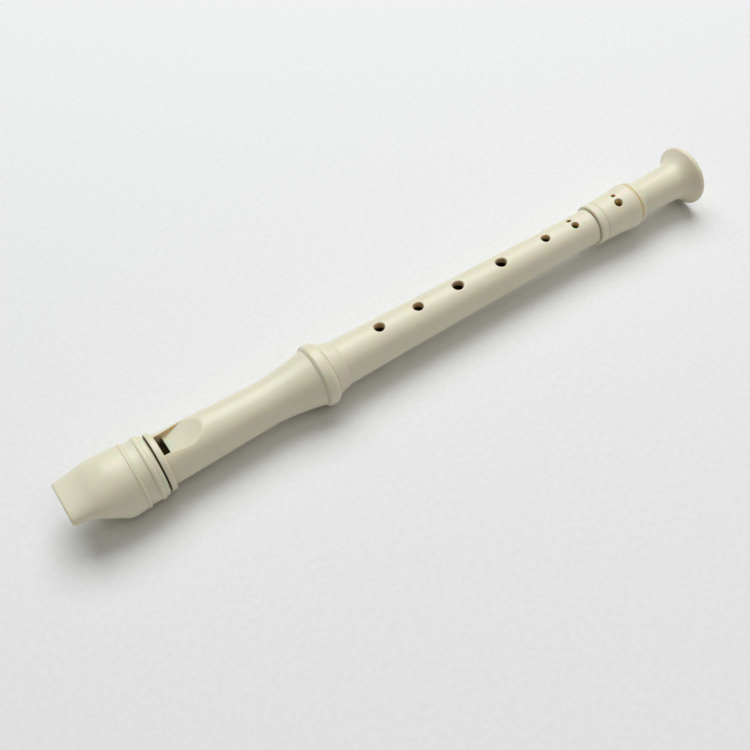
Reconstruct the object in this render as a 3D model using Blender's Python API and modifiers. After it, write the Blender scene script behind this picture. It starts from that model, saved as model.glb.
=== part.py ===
"""Soprano recorder in moulded plastic: mouthpiece, head, middle and foot on one axis.

Metres, +Z up. The axis runs along X with the beak towards -X and the bell towards +X. The window
and the finger holes face +Z. The origin is on the surface that the recorder lies on, under the
middle of its length. Stations are measured along the axis from the beak's tip, and heights from
the axis.
"""
import math

import bmesh
import bpy

# Whole instrument
LENGTH = 0.327
SIDES = 40
GAP = 0.0003
BARREL_RADIUS = 0.0150
AXIS_HEIGHT = BARREL_RADIUS * math.cos(math.pi / SIDES)

# Mouthpiece: the beak's sections are (station, top, bottom, half width, squareness)
BEAK_SECTIONS = [
    (0.0000, 0.0097, 0.0023, 0.0105, 2.5),
    (0.0006, 0.0102, 0.0018, 0.0111, 2.5),
    (0.0030, 0.0107, 0.0013, 0.0114, 2.4),
    (0.0060, 0.0113, 0.0007, 0.0117, 2.35),
    (0.0091, 0.0121, -0.0008, 0.0123, 2.3),
    (0.0131, 0.0134, -0.0048, 0.0135, 2.2),
    (0.0167, 0.0143, -0.0088, 0.0143, 2.1),
    (0.0191, 0.0148, -0.0118, 0.0148, 2.0),
    (0.0215, 0.0150, -0.0142, 0.0150, 2.0),
]
BARREL_START = 0.0235
BARREL_FULL_END = 0.0247
BARREL_END = 0.0297
RIDGE_END = 0.0310
BEAD_START = 0.0358
BEAD_END = 0.0376
MOUTHPIECE_END = 0.0400
SHOULDER_RADIUS = 0.0146
BAND_RADIUS = 0.0141
BEAD_RADIUS = 0.0145
END_RADIUS = 0.0140

# Windway, from the beak's tip to the window
WINDWAY_HALF_WIDTH = 0.0054
WINDWAY_TIP_HALF_WIDTH = 0.0060
WINDWAY_FLOOR = 0.0062
WINDWAY_ROOF = 0.0073
WINDWAY_TIP_FLOOR = 0.0053
WINDWAY_TIP_ROOF = 0.0071
BLOCK_START = 0.0160

# Head tube
HEAD_BORE_RADIUS = 0.00675
SPIGOT_START = 0.0245
SPIGOT_RADIUS = 0.0116
RELIEF_START = 0.0394
RELIEF_RADIUS = 0.0100
COLLAR_START = 0.0408
COLLAR_END = 0.0434
COLLAR_RADIUS = 0.0133
WINDOW_START = 0.0438
WINDOW_END = 0.0471
RAMP_END = 0.0640
RAMP_END_HALF_WIDTH = 0.0085
LABIUM_HEIGHT = 0.0070
TUBE_RADIUS = 0.0115
WAIST_STATION = 0.0920
WAIST_RADIUS = 0.0100
FLARE_END = 0.1158
FLARE_RADIUS = 0.0131
HEAD_BAND_START = 0.1163
HEAD_BAND_START_RADIUS = 0.0138
HEAD_BAND_TOP = 0.1172
HEAD_BAND_END = 0.1211
HEAD_BAND_RADIUS = 0.01445
HEAD_END = 0.1224
HEAD_MOUTH_RADIUS = 0.0138
HEAD_SOCKET_START = 0.1030
HEAD_SOCKET_RADIUS = 0.00895

# Middle tube
MIDDLE_START = 0.1040
HEAD_TENON_RADIUS = 0.0085
HEAD_SEAL_START = 0.1100
HEAD_SEAL_END = 0.1140
SHOULDER_START = 0.1228
MIDDLE_OUTLINE = [
    (SHOULDER_START, 0.0117),
    (0.1234, 0.0121),
    (0.1250, 0.0119),
    (0.1284, 0.0109),
    (0.1288, 0.0105),
    (0.1490, 0.0100),
    (0.1700, 0.0096),
    (0.2000, 0.0092),
    (0.2320, 0.0088),
    (0.2520, 0.0085),
]
MIDDLE_TUBE_END = 0.2682
MIDDLE_END_RADIUS = 0.0085
MIDDLE_END = 0.2793
FOOT_TENON_RADIUS = 0.0070
FOOT_SEAL_START = 0.2715
FOOT_SEAL_END = 0.2747
MIDDLE_BORE_START_RADIUS = 0.0064
MIDDLE_BORE_END_RADIUS = 0.0053

# Seal rings
SEAL_STAND_OUT = 0.00015
HEAD_SEAL_THICKNESS = 0.0009
FOOT_SEAL_THICKNESS = 0.0006

# Holes: (station, distance to the side, radius)
FINGER_HOLES = [
    (0.1509, 0.0, 0.00240),
    (0.1713, 0.0, 0.00235),
    (0.1927, 0.0, 0.00255),
    (0.2165, 0.0, 0.00255),
    (0.2418, 0.0, 0.00210),
    (0.2580, -0.0014, 0.00175),
    (0.2574, 0.0025, 0.00115),
]
THUMB_HOLE = (0.1450, 0.0, 0.00250)
FOOT_HOLES = [
    (0.2823, -0.0029, 0.00190),
    (0.2828, 0.0017, 0.00110),
]

# Foot joint
FOOT_START = 0.2686
FOOT_SOCKET_END = 0.2797
FOOT_SOCKET_RADIUS = 0.00745
FOOT_BORE_RADIUS = 0.0052
FOOT_OUTLINE = [
    (FOOT_START, 0.0095),
    (0.2691, 0.0099),
    (0.2721, 0.0099),
    (0.2725, 0.0095),
    (0.2729, 0.0095),
    (0.2733, 0.0098),
    (0.2840, 0.0103),
    (0.2886, 0.0109),
    (0.2908, 0.0110),
    (0.2916, 0.0107),
    (0.2920, 0.0095),
    (0.2926, 0.0095),
    (0.2930, 0.0103),
    (0.2948, 0.0103),
    (0.2955, 0.0089),
    (0.2966, 0.0083),
    (0.3094, 0.0086),
]
BELL_FLARE_START = 0.3160
BELL_NECK_RADIUS = 0.0090
BELL_RIM_START = 0.3246
BELL_RIM_RADIUS = 0.0143
BELL_MOUTH_RADIUS = 0.0112
BELL_CUP_START = 0.3130

CUT_MARGIN = 0.004
FLARE_STEPS = 6


def remove_scene_objects():
    for thing in list(bpy.data.objects):
        bpy.data.objects.remove(thing, do_unlink=True)


def make_collection(name):
    collection = bpy.data.collections.new(name)
    bpy.context.scene.collection.children.link(collection)
    return collection


def make_material(name, colour, roughness):
    material = bpy.data.materials.new(name)
    material.use_nodes = True
    shader = material.node_tree.nodes["Principled BSDF"]
    shader.inputs["Base Color"].default_value = (*colour, 1.0)
    shader.inputs["Roughness"].default_value = roughness
    shader.inputs["Metallic"].default_value = 0.0
    return material


def place(name, mesh, collection, material=None):
    """Put a mesh on the axis, with its own origin at the beak's tip station."""
    thing = bpy.data.objects.new(name, mesh)
    thing.location = (-LENGTH / 2, 0.0, AXIS_HEIGHT)
    collection.objects.link(thing)
    if material:
        mesh.materials.append(material)
    return thing


def mesh_from(bm, name):
    bmesh.ops.recalc_face_normals(bm, faces=bm.faces)
    mesh = bpy.data.meshes.new(name)
    bm.to_mesh(mesh)
    bm.free()
    mesh.shade_smooth()
    mesh.set_sharp_from_angle(angle=math.radians(35))
    return mesh


def turned(name, outer, inner, collection, material=None):
    """Turn a closed outline about the X axis; a flat side of the polygon faces straight down."""
    outline = outer[::-1] + inner
    half_step = math.pi / SIDES
    mesh = bpy.data.meshes.new(name)
    corners = [
        (radius * math.cos(half_step), radius * math.sin(half_step), station)
        for station, radius in outline
    ]
    edges = [(i, (i + 1) % len(corners)) for i in range(len(corners))]
    mesh.from_pydata(corners, edges, [])
    thing = place(name, mesh, collection, material)
    thing.rotation_euler = (0.0, math.pi / 2, 0.0)
    screw = thing.modifiers.new("turn", "SCREW")
    screw.axis = "Z"
    screw.steps = SIDES
    screw.render_steps = SIDES
    screw.use_merge_vertices = True
    screw.merge_threshold = 0.00001
    screw.use_smooth_shade = True
    return thing


def loft(name, rings, collection, material=None):
    """Skin a closed body over rings of points that all have the same count."""
    bm = bmesh.new()
    loops = [[bm.verts.new(point) for point in ring] for ring in rings]
    for near, far in zip(loops, loops[1:]):
        for i in range(len(near)):
            j = (i + 1) % len(near)
            bm.faces.new((near[i], near[j], far[j], far[i]))
    bm.faces.new(loops[0])
    bm.faces.new(loops[-1])
    return place(name, mesh_from(bm, name), collection, material)


def rod(name, start, end, radius, collection):
    """A round bar along the axis."""
    bm = bmesh.new()
    bmesh.ops.create_cone(
        bm, cap_ends=True, segments=SIDES, radius1=radius, radius2=radius, depth=end - start
    )
    turn = math.pi / SIDES
    for vert in bm.verts:
        along = vert.co.z + (start + end) / 2
        angle = math.atan2(vert.co.y, vert.co.x) + turn
        vert.co = (along, radius * math.sin(angle), -radius * math.cos(angle))
    return place(name, mesh_from(bm, name), collection)


def tapered_box(name, near, far, collection, material=None):
    """A six-sided body between two upright ends, each (station, half width, floor, roof)."""
    bm = bmesh.new()
    bmesh.ops.create_cube(bm, size=2.0)
    for vert in bm.verts:
        station, half_width, floor, roof = near if vert.co.x < 0 else far
        vert.co = (station, vert.co.y * half_width, floor if vert.co.z < 0 else roof)
    return place(name, mesh_from(bm, name), collection, material)


def hole_cutter(name, hole, up, collection):
    """A round bar from near the axis out through the wall, up or down."""
    station, side, radius = hole
    depth = 2 * BARREL_RADIUS
    bm = bmesh.new()
    bmesh.ops.create_cone(
        bm, cap_ends=True, segments=24, radius1=radius, radius2=radius, depth=depth
    )
    bmesh.ops.translate(bm, verts=bm.verts, vec=(station, side, up * (depth / 2 + 0.001)))
    return place(name, mesh_from(bm, name), collection)


def combine(target, other, operation):
    """Join another body to the target, or cut it away; the other becomes a hidden tool."""
    boolean = target.modifiers.new(other.name, "BOOLEAN")
    boolean.object = other
    boolean.operation = operation
    boolean.solver = "EXACT"
    other.display_type = "WIRE"
    other.hide_render = True


def flare(start, end, power, steps):
    """Points of a trumpet-like curve from one (station, radius) to another, without the first."""
    points = []
    for i in range(1, steps + 1):
        share = i / steps
        radius = start[1] + (end[1] - start[1]) * share**power
        points.append((start[0] + (end[0] - start[0]) * share, radius))
    return points


def beak_ring(section):
    """A rounded-rectangle section of the beak; squareness 2 is an ellipse."""
    station, top, bottom, half_width, squareness = section
    middle = (top + bottom) / 2
    half_height = (top - bottom) / 2
    ring = []
    for i in range(SIDES):
        angle = 2 * math.pi * (i + 0.5) / SIDES
        side = math.sin(angle)
        rise = -math.cos(angle)
        y = math.copysign(abs(side) ** (2 / squareness), side) * half_width
        z = math.copysign(abs(rise) ** (2 / squareness), rise) * half_height
        ring.append((station, y, middle + z))
    return ring


def round_section(station, radius):
    return (station, radius, -radius, radius, 2.0)


def make_mouthpiece(parts, cutters, material):
    sections = BEAK_SECTIONS + [
        round_section(BARREL_START, BARREL_RADIUS),
        round_section(BARREL_FULL_END, BARREL_RADIUS),
        round_section(BARREL_END, SHOULDER_RADIUS),
        round_section(BARREL_END + 0.0003, SHOULDER_RADIUS + 0.0002),
        round_section(RIDGE_END - 0.0003, SHOULDER_RADIUS + 0.0001),
        round_section(RIDGE_END, BAND_RADIUS),
        round_section(BEAD_START - 0.0003, BAND_RADIUS - 0.0001),
        round_section(BEAD_START + 0.0003, BEAD_RADIUS),
        round_section(BEAD_END - 0.0003, BEAD_RADIUS),
        round_section(BEAD_END, END_RADIUS),
        round_section(MOUTHPIECE_END - 0.0009, END_RADIUS),
        round_section(MOUTHPIECE_END, END_RADIUS - 0.0008),
    ]
    piece = loft("mouthpiece", [beak_ring(section) for section in sections], parts, material)
    socket = rod(
        "mouthpiece_socket", SPIGOT_START - GAP, MOUTHPIECE_END + CUT_MARGIN,
        SPIGOT_RADIUS + GAP, cutters,
    )
    cavity = rod(
        "block_cavity", BLOCK_START - GAP, SPIGOT_START + CUT_MARGIN, HEAD_BORE_RADIUS, cutters
    )
    cavity_roof = tapered_box(
        "block_cavity_roof",
        (BLOCK_START - GAP, WINDWAY_HALF_WIDTH, 0.0, WINDWAY_ROOF),
        (SPIGOT_START + CUT_MARGIN, WINDWAY_HALF_WIDTH, 0.0, WINDWAY_ROOF),
        cutters,
    )
    windway = tapered_box(
        "windway_slot",
        (-CUT_MARGIN, WINDWAY_TIP_HALF_WIDTH, WINDWAY_TIP_FLOOR, WINDWAY_TIP_ROOF),
        (BLOCK_START + CUT_MARGIN, WINDWAY_HALF_WIDTH, WINDWAY_FLOOR, WINDWAY_ROOF),
        cutters,
    )
    for cutter in (socket, cavity, cavity_roof, windway):
        combine(piece, cutter, "DIFFERENCE")
    return piece


def make_windway_block(parts, cutters, material):
    """A round plug with a raised flat top that forms the floor of the windway."""
    piece = rod("windway_block", BLOCK_START, WINDOW_START - GAP, HEAD_BORE_RADIUS - GAP, parts)
    piece.data.materials.append(material)
    half_width = WINDWAY_HALF_WIDTH - GAP
    margin = 0.0005
    top = tapered_box(
        "block_top",
        (BLOCK_START + margin, half_width, 0.0, WINDWAY_FLOOR),
        (WINDOW_START - GAP - margin, half_width, 0.0, WINDWAY_FLOOR),
        cutters,
    )
    flat = tapered_box(
        "block_flat",
        (BLOCK_START - CUT_MARGIN, HEAD_BORE_RADIUS, WINDWAY_FLOOR, HEAD_BORE_RADIUS * 2),
        (WINDOW_START + CUT_MARGIN, HEAD_BORE_RADIUS, WINDWAY_FLOOR, HEAD_BORE_RADIUS * 2),
        cutters,
    )
    combine(piece, flat, "DIFFERENCE")
    combine(piece, top, "UNION")
    return piece


def make_head_tube(parts, cutters, material):
    waist = (WAIST_STATION, WAIST_RADIUS)
    outer = [
        (SPIGOT_START, SPIGOT_RADIUS - 0.0004),
        (SPIGOT_START + 0.0006, SPIGOT_RADIUS),
        (RELIEF_START, SPIGOT_RADIUS),
        (RELIEF_START, RELIEF_RADIUS),
        (COLLAR_START, RELIEF_RADIUS),
        (COLLAR_START, COLLAR_RADIUS - 0.0003),
        (COLLAR_START + 0.0003, COLLAR_RADIUS),
        (COLLAR_END - 0.0003, COLLAR_RADIUS),
        (COLLAR_END, TUBE_RADIUS),
        (0.0560, 0.01117),
        (0.0690, 0.01075),
        (0.0790, 0.01035),
        waist,
    ]
    outer += flare(waist, (FLARE_END, FLARE_RADIUS), 1.8, FLARE_STEPS)
    outer += [
        (HEAD_BAND_START, HEAD_BAND_START_RADIUS),
        (HEAD_BAND_TOP, HEAD_BAND_RADIUS),
        (HEAD_BAND_END, HEAD_BAND_RADIUS),
        (HEAD_END, HEAD_MOUTH_RADIUS),
    ]
    inner = [
        (SPIGOT_START, HEAD_BORE_RADIUS),
        (HEAD_SOCKET_START, HEAD_BORE_RADIUS),
        (HEAD_SOCKET_START, HEAD_SOCKET_RADIUS),
        (HEAD_END, HEAD_SOCKET_RADIUS),
    ]
    piece = turned("head_tube", outer, inner, parts, material)
    windway = tapered_box(
        "head_windway",
        (SPIGOT_START - CUT_MARGIN, WINDWAY_HALF_WIDTH, 0.0, WINDWAY_ROOF),
        (WINDOW_END - 0.0010, WINDWAY_HALF_WIDTH, 0.0, WINDWAY_ROOF),
        cutters,
    )
    window = tapered_box(
        "window",
        (WINDOW_START, WINDWAY_HALF_WIDTH, 0.0, BARREL_RADIUS),
        (WINDOW_END, WINDWAY_HALF_WIDTH, 0.0, BARREL_RADIUS),
        cutters,
    )
    rise = (TUBE_RADIUS - LABIUM_HEIGHT) / (RAMP_END + 0.002 - WINDOW_END)
    near = WINDOW_END - 0.0010
    far = RAMP_END + CUT_MARGIN
    ramp = tapered_box(
        "ramp",
        (near, WINDWAY_HALF_WIDTH, LABIUM_HEIGHT + rise * (near - WINDOW_END), BARREL_RADIUS),
        (far, RAMP_END_HALF_WIDTH, LABIUM_HEIGHT + rise * (far - WINDOW_END), BARREL_RADIUS),
        cutters,
    )
    for cutter in (windway, window, ramp):
        combine(piece, cutter, "DIFFERENCE")
    return piece


def make_middle_tube(parts, cutters, material):
    head_groove = HEAD_TENON_RADIUS + SEAL_STAND_OUT - HEAD_SEAL_THICKNESS - GAP
    foot_groove = FOOT_TENON_RADIUS + SEAL_STAND_OUT - FOOT_SEAL_THICKNESS - GAP
    outer = [
        (MIDDLE_START, HEAD_TENON_RADIUS - 0.0004),
        (MIDDLE_START + 0.0006, HEAD_TENON_RADIUS),
        (HEAD_SEAL_START - GAP, HEAD_TENON_RADIUS),
        (HEAD_SEAL_START - GAP, head_groove),
        (HEAD_SEAL_END + GAP, head_groove),
        (HEAD_SEAL_END + GAP, HEAD_TENON_RADIUS),
        (SHOULDER_START, HEAD_TENON_RADIUS),
    ]
    outer += MIDDLE_OUTLINE
    outer += [
        (MIDDLE_TUBE_END, MIDDLE_END_RADIUS),
        (MIDDLE_TUBE_END, FOOT_TENON_RADIUS),
        (FOOT_SEAL_START - GAP, FOOT_TENON_RADIUS),
        (FOOT_SEAL_START - GAP, foot_groove),
        (FOOT_SEAL_END + GAP, foot_groove),
        (FOOT_SEAL_END + GAP, FOOT_TENON_RADIUS),
        (MIDDLE_END - 0.0005, FOOT_TENON_RADIUS),
        (MIDDLE_END, FOOT_TENON_RADIUS - 0.0004),
    ]
    inner = [(MIDDLE_START, MIDDLE_BORE_START_RADIUS), (MIDDLE_END, MIDDLE_BORE_END_RADIUS)]
    piece = turned("middle_tube", outer, inner, parts, material)
    for number, hole in enumerate(FINGER_HOLES, start=1):
        combine(piece, hole_cutter(f"finger_hole_{number}", hole, 1, cutters), "DIFFERENCE")
    combine(piece, hole_cutter("thumb_hole", THUMB_HOLE, -1, cutters), "DIFFERENCE")
    return piece


def make_foot_joint(parts, cutters, material):
    neck = (BELL_FLARE_START, BELL_NECK_RADIUS)
    rim = (BELL_RIM_START, BELL_RIM_RADIUS - 0.0003)
    outer = FOOT_OUTLINE + [neck] + flare(neck, rim, 2.0, FLARE_STEPS)
    outer += [
        (BELL_RIM_START + 0.0005, BELL_RIM_RADIUS),
        (LENGTH - 0.0006, BELL_RIM_RADIUS),
        (LENGTH, BELL_RIM_RADIUS - 0.0005),
    ]
    cup = (BELL_CUP_START, FOOT_BORE_RADIUS)
    inner = [
        (FOOT_START, FOOT_SOCKET_RADIUS),
        (FOOT_SOCKET_END, FOOT_SOCKET_RADIUS),
        (FOOT_SOCKET_END, FOOT_BORE_RADIUS),
        cup,
    ]
    inner += flare(cup, (LENGTH, BELL_MOUTH_RADIUS), 1.8, FLARE_STEPS)
    piece = turned("foot_joint", outer, inner, parts, material)
    for number, hole in enumerate(FOOT_HOLES, start=1):
        combine(piece, hole_cutter(f"foot_hole_{number}", hole, 1, cutters), "DIFFERENCE")
    return piece


def make_seal_ring(name, start, end, tenon_radius, thickness, parts, material):
    outside = tenon_radius + SEAL_STAND_OUT
    inside = outside - thickness
    crown = 0.0003
    outer = [
        (start, outside - crown),
        (start + crown, outside),
        (end - crown, outside),
        (end, outside - crown),
    ]
    return turned(name, outer, [(start, inside), (end, inside)], parts, material)


def main():
    remove_scene_objects()
    parts = make_collection("soprano_recorder")
    cutters = make_collection("cutters")
    ivory = (0.80, 0.74, 0.60)
    make_mouthpiece(parts, cutters, make_material("mouthpiece_ivory", ivory, 0.32))
    make_windway_block(parts, cutters, make_material("block_ivory", ivory, 0.40))
    make_head_tube(parts, cutters, make_material("head_ivory", ivory, 0.30))
    make_middle_tube(parts, cutters, make_material("middle_ivory", ivory, 0.30))
    make_foot_joint(parts, cutters, make_material("foot_ivory", ivory, 0.30))
    make_seal_ring(
        "head_seal_ring", HEAD_SEAL_START, HEAD_SEAL_END, HEAD_TENON_RADIUS,
        HEAD_SEAL_THICKNESS, parts, make_material("head_seal", (0.36, 0.30, 0.24), 0.6),
    )
    make_seal_ring(
        "foot_seal_ring", FOOT_SEAL_START, FOOT_SEAL_END, FOOT_TENON_RADIUS,
        FOOT_SEAL_THICKNESS, parts, make_material("foot_seal", (0.36, 0.30, 0.24), 0.6),
    )


main()
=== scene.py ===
# Looks of a moulded plastic soprano recorder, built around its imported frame.
# Metres, +Z up. The axis runs along X, the beak towards -X, the window and finger holes up.
# Stations are measured along the axis from the beak's tip, heights and radii from the axis.
import math

import bmesh
import bpy
import numpy as np
from mathutils import Matrix, Vector


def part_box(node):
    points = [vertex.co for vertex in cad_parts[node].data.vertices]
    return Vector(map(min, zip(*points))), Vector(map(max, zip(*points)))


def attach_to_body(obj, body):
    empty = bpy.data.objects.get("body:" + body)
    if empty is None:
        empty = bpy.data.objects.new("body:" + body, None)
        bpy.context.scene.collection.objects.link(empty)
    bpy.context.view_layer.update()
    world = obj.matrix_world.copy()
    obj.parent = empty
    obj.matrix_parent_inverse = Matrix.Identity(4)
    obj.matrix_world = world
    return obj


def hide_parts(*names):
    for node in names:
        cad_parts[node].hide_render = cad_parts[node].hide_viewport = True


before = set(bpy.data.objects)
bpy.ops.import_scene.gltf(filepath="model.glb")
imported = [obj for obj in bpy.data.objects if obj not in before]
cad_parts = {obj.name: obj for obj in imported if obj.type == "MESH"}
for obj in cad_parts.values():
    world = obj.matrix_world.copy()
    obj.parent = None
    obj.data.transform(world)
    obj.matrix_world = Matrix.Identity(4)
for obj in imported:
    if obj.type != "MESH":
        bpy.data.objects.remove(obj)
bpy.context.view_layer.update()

# Places taken from the frame
TIP_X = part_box("mouthpiece")[0].x
BELL_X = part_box("foot_joint")[1].x
LENGTH = BELL_X - TIP_X
AXIS_Z = (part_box("foot_joint")[0].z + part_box("foot_joint")[1].z) / 2

# How finely the surfaces are divided: points round the axis, and steps along it
ROUND = 96
STEP = 0.0006
FOOT_STEP = 0.00058
HEAD_BORE_STEP = 0.0015
BORE_STEP = 0.002
BORE_SPREAD = 0.25
WELD = 0.000004
SMOOTH_ANGLE = math.radians(38)
NEARLY_STRAIGHT = math.radians(88)
ALMOST_HALF = 0.49

# Mouthpiece: (station, top, bottom, half width, squareness) of the beak's sections
BEAK_SECTIONS = [
    (0.0000, 0.0102, 0.0018, 0.0111, 2.5),
    (0.0030, 0.0107, 0.0013, 0.0114, 2.4),
    (0.0060, 0.0113, 0.0007, 0.0117, 2.35),
    (0.0091, 0.0121, -0.0008, 0.0123, 2.3),
    (0.0131, 0.0134, -0.0048, 0.0135, 2.2),
    (0.0167, 0.0143, -0.0088, 0.0143, 2.1),
    (0.0191, 0.0148, -0.0118, 0.0148, 2.0),
    (0.0215, 0.0150, -0.0142, 0.0150, 2.0),
    (0.0235, 0.0150, -0.0150, 0.0150, 2.0),
]
TIP_ROUNDING = 0.0008
TIP_TURNS = np.radians([90, 70, 52, 36, 22, 10])
TIP_FACE_ROWS = (0.0, 0.35, 0.7, 1.0)
MOUTHPIECE_END = 0.0400
BARREL_RADIUS = 0.0150
SHOULDER_RADIUS = 0.0146
BAND_RADIUS = 0.0141
BEAD_RADIUS = 0.0145
END_RADIUS = 0.0140

# Windway and block. The slot's ends are (station, top, bottom, half width)
SLOT_TIP = (0.0000, 0.0072, 0.0052, 0.0060)
SLOT_END = (0.0160, 0.00725, 0.00625, 0.0054)
SLOT_SQUARENESS = 7.0
SLOT_FUNNEL = 0.0004
SLOT_MOUTH_TURNS = np.radians([30, 60, 90])
WINDWAY_ROOF = 0.0073
WINDWAY_FLOOR = 0.0062
BLOCK_START = 0.0160
CAVITY_GAP = 0.0003

# Head tube. The cheeks are the upright walls beside the ramp, as (station, half width)
HEAD_BORE = 0.00675
SPIGOT_START = 0.0245
SPIGOT_RADIUS = 0.0116
RELIEF_START = 0.0394
RELIEF_RADIUS = 0.0100
COLLAR_START = 0.0408
COLLAR_END = 0.0434
COLLAR_RADIUS = 0.0133
TUBE_RADIUS = 0.0115
WINDOW_START = 0.0438
WINDOW_END = 0.0471
WINDOW_HALF_WIDTH = 0.0054
LABIUM_HEIGHT = 0.0070
CHEEK_END = 0.0594
CHEEK_LINE = [(0.0471, 0.0054), (0.0510, 0.0060), (0.0545, 0.0065), (0.0565, 0.0066)]
RAMP_END = 0.0640
RAMP_HOLLOW = 0.0004
RAMP_REGION_END = 0.0680
WINDOW_ROUNDING = 0.00018
WAIST = (0.0920, 0.0100)
FLARE_END = (0.1158, 0.0131)
FLARE_POWER = 1.8
HEAD_BAND_RADIUS = 0.01445
HEAD_END = 0.1224
HEAD_SOCKET_START = 0.1030
HEAD_SOCKET_RADIUS = 0.00895
SOCKET_CHAMFER = 0.0004

# Middle tube. A seal is (start, end, thickness)
MIDDLE_START = 0.1040
HEAD_TENON_RADIUS = 0.0085
HEAD_SEAL = (0.1100, 0.1140, 0.0009)
SHOULDER_START = 0.1228
MIDDLE_TUBE_START = 0.1340
MIDDLE_HOLES_END = 0.2660
MIDDLE_TUBE_END = 0.2682
MIDDLE_END_RADIUS = 0.0085
FOOT_TENON_RADIUS = 0.0070
FOOT_SEAL = (0.2715, 0.2747, 0.0006)
MIDDLE_END = 0.2793
SEAL_STAND_OUT = 0.00015
SEAL_GAP = 0.0003
SEAL_RIB = 0.00012
SEAL_CROWN = 0.00010
MIDDLE_BORE = ((MIDDLE_START, MIDDLE_END), (0.0064, 0.0053))

# Foot joint
FOOT_START = 0.2686
FOOT_SOCKET_END = 0.2797
FOOT_SOCKET_RADIUS = 0.00745
FOOT_BORE = 0.0052
FOOT_BARREL_START = (0.2783, 0.01003)
FOOT_HOLES_START = 0.2799
FOOT_BARREL_END = (0.2870, 0.01069)
BELL_START = (0.3163, 0.00903)
BELL_RIM = (0.3246, 0.0140)
BELL_POWER = 2.0
BELL_RIM_RADIUS = 0.0143
BELL_MOUTH_RADIUS = 0.0112
BELL_CUP_START = 0.3130
BELL_CUP_POWER = 1.8

# Holes: station, distance to the side, radius, rows each way, columns from and to
FINGER_HOLES = [
    (0.1509, 0.0, 0.00240, 8, (-7, 7)),
    (0.1713, 0.0, 0.00235, 8, (-7, 7)),
    (0.1927, 0.0, 0.00255, 8, (-7, 7)),
    (0.2165, 0.0, 0.00255, 8, (-8, 8)),
    (0.2418, 0.0, 0.00210, 7, (-7, 7)),
    (0.2580, -0.0014, 0.00175, 5, (-8, 2)),
    (0.2574, 0.0025, 0.00112, 4, (2, 8)),
]
THUMB_HOLE = (0.1450, 0.0, 0.00250, 8, (ROUND // 2 - 7, ROUND // 2 + 7))
FOOT_HOLES = [
    (0.2823, -0.0029, 0.00190, 5, (-9, 0)),
    (0.2828, 0.0017, 0.00108, 5, (0, 8)),
]
LARGE_HOLE = 0.0025
HOLE_ROUNDING = 0.00075
BORE_ROUNDING = 0.00010

# Where the rows of an opening's grid lie: on the wall towards its edge, and round that edge
HOLE_APPROACH = (0.0, 0.3, 0.55, 0.75, 0.9, 1.0)
RAMP_APPROACH = (0.0, 0.15, 0.3, 0.45, 0.6, 0.74, 0.86, 0.95, 1.0)
EDGE_TURNS = np.radians([22.5, 45.0, 67.5, 90.0])

# Outlines of the turned surfaces, as corners of (station, radius, rounding)
CAVITY_END = SPIGOT_START - CAVITY_GAP
MOUTHPIECE_OUTLINE = [
    (0.0235, BARREL_RADIUS, 0),
    (0.0247, BARREL_RADIUS, 0.004),
    (0.0296, SHOULDER_RADIUS, 0.001),
    (0.0299, SHOULDER_RADIUS + 0.0003, 0.0002),
    (0.0307, SHOULDER_RADIUS + 0.0003, 0.0003),
    (0.0310, BAND_RADIUS, 0.0003),
    (0.0354, BAND_RADIUS - 0.0001, 0.0004),
    (0.0359, BEAD_RADIUS, 0.0008),
    (0.0374, BEAD_RADIUS, 0.0008),
    (0.0378, END_RADIUS, 0.0003),
    (0.0391, END_RADIUS, 0.0009),
    (MOUTHPIECE_END, END_RADIUS - 0.0009, 0.0003),
    (MOUTHPIECE_END, SPIGOT_RADIUS + CAVITY_GAP, 0.0002),
    (CAVITY_END, SPIGOT_RADIUS + CAVITY_GAP, 0.0002),
    (CAVITY_END, HEAD_BORE + 0.0030, 0),
]
SPIGOT_OUTLINE = [
    (SPIGOT_START, SPIGOT_RADIUS - 0.0005, 0),
    (SPIGOT_START + 0.0005, SPIGOT_RADIUS, 0.0002),
    (RELIEF_START, SPIGOT_RADIUS, 0.0001),
    (RELIEF_START, RELIEF_RADIUS, 0.0002),
    (COLLAR_START, RELIEF_RADIUS, 0.0002),
    (COLLAR_START, COLLAR_RADIUS, 0.0003),
    (COLLAR_END, COLLAR_RADIUS, 0.0004),
    (COLLAR_END, TUBE_RADIUS, 0),
]
HEAD_BAND_OUTLINE = [
    FLARE_END + (0,),
    (0.1163, 0.0138, 0.0004),
    (0.1172, HEAD_BAND_RADIUS, 0.0008),
    (0.1208, HEAD_BAND_RADIUS, 0.0012),
    (HEAD_END, HEAD_BAND_RADIUS - 0.0011, 0.0006),
    (HEAD_END, HEAD_SOCKET_RADIUS + SOCKET_CHAMFER, 0),
]
HEAD_GROOVE_RADIUS = HEAD_TENON_RADIUS + SEAL_STAND_OUT - HEAD_SEAL[2] - SEAL_GAP
MIDDLE_START_OUTLINE = [
    (MIDDLE_START, HEAD_TENON_RADIUS - 0.0005, 0),
    (MIDDLE_START + 0.0005, HEAD_TENON_RADIUS, 0.0003),
    (HEAD_SEAL[0] - SEAL_GAP, HEAD_TENON_RADIUS, 0.0001),
    (HEAD_SEAL[0] - SEAL_GAP, HEAD_GROOVE_RADIUS, 0.0001),
    (HEAD_SEAL[1] + SEAL_GAP, HEAD_GROOVE_RADIUS, 0.0001),
    (HEAD_SEAL[1] + SEAL_GAP, HEAD_TENON_RADIUS, 0.0001),
    (SHOULDER_START, HEAD_TENON_RADIUS, 0.0001),
    (SHOULDER_START, 0.0119, 0.0003),
    (0.1234, 0.0121, 0.0006),
    (0.1288, 0.0108, 0.0004),
    (0.1291, 0.0104, 0.0003),
    (MIDDLE_TUBE_START, 0.01035, 0),
]
FOOT_GROOVE_RADIUS = FOOT_TENON_RADIUS + SEAL_STAND_OUT - FOOT_SEAL[2] - SEAL_GAP
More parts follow.
